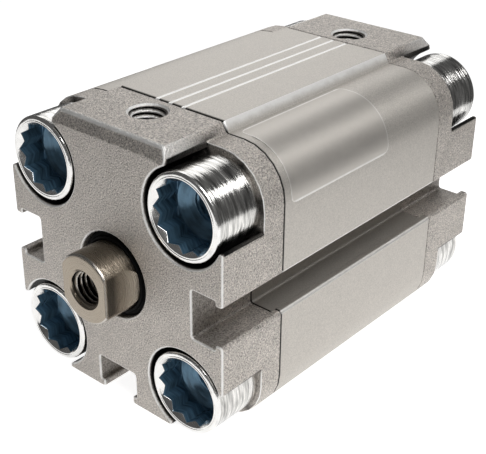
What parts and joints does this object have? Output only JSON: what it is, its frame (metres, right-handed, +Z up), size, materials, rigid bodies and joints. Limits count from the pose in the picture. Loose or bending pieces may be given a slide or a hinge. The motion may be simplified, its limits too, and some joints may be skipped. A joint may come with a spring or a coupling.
{
  "type": "pneumatic cylinder",
  "caption": "Compact double-acting pneumatic cylinder with a square profile barrel, end caps held by hollow socket screws, T-slots for switches, and a rod with a female thread.",
  "frame": {"origin": "on the rod axis, in the plane of the front mounting face", "axes": "X to the right seen from the rod end, Y from the rod end to the rear, Z up to the air ports"},
  "size_m": [0.0396, 0.0645, 0.041],
  "materials": {
    "cast_cap": "blasted",
    "anodised_barrel": "satin anodised",
    "zinc_steel": "turned and zinc plated",
    "rod_steel": "ground",
    "black_rubber": "matte",
    "bumper_rubber": "matte",
    "bronze": "sintered",
    "piston_aluminium": "turned",
    "magnet": "matte",
    "guide_plastic": "matte"
  },
  "bodies": {
    "cylinder": {"front_cap": "cast_cap", "rear_cap": "cast_cap", "barrel": "anodised_barrel", "rod_seal": "black_rubber", "rod_bush": "bronze", "front_cap_o_ring": "black_rubber", "rear_cap_o_ring": "black_rubber", "front_bumper": "bumper_rubber", "rear_bumper": "bumper_rubber", "front_cap_screw_1": "zinc_steel", "front_cap_screw_2": "zinc_steel", "front_cap_screw_3": "zinc_steel", "front_cap_screw_4": "zinc_steel", "rear_cap_screw_1": "zinc_steel", "rear_cap_screw_2": "zinc_steel", "rear_cap_screw_3": "zinc_steel", "rear_cap_screw_4": "zinc_steel"},
    "guide_ring": {"guide_ring": "guide_plastic"},
    "piston_and_rod": {"piston_rod": "rod_steel", "piston_front_disc": "piston_aluminium", "piston_rear_disc": "piston_aluminium", "piston_front_seal": "black_rubber", "piston_rear_seal": "black_rubber", "magnet_ring": "magnet", "piston_nut": "zinc_steel"}
  },
  "joints": [
    {"name": "rod_slide", "type": "slide", "parent": "cylinder", "child": "guide_ring", "axis": [0, -1, 0], "range_m": [0, 0.02]},
    {"name": "rod_turn", "type": "hinge", "parent": "guide_ring", "child": "piston_and_rod", "pos_m": [0, 0.0395, 0], "axis": [0, -1, 0], "continuous": true}
  ]
}
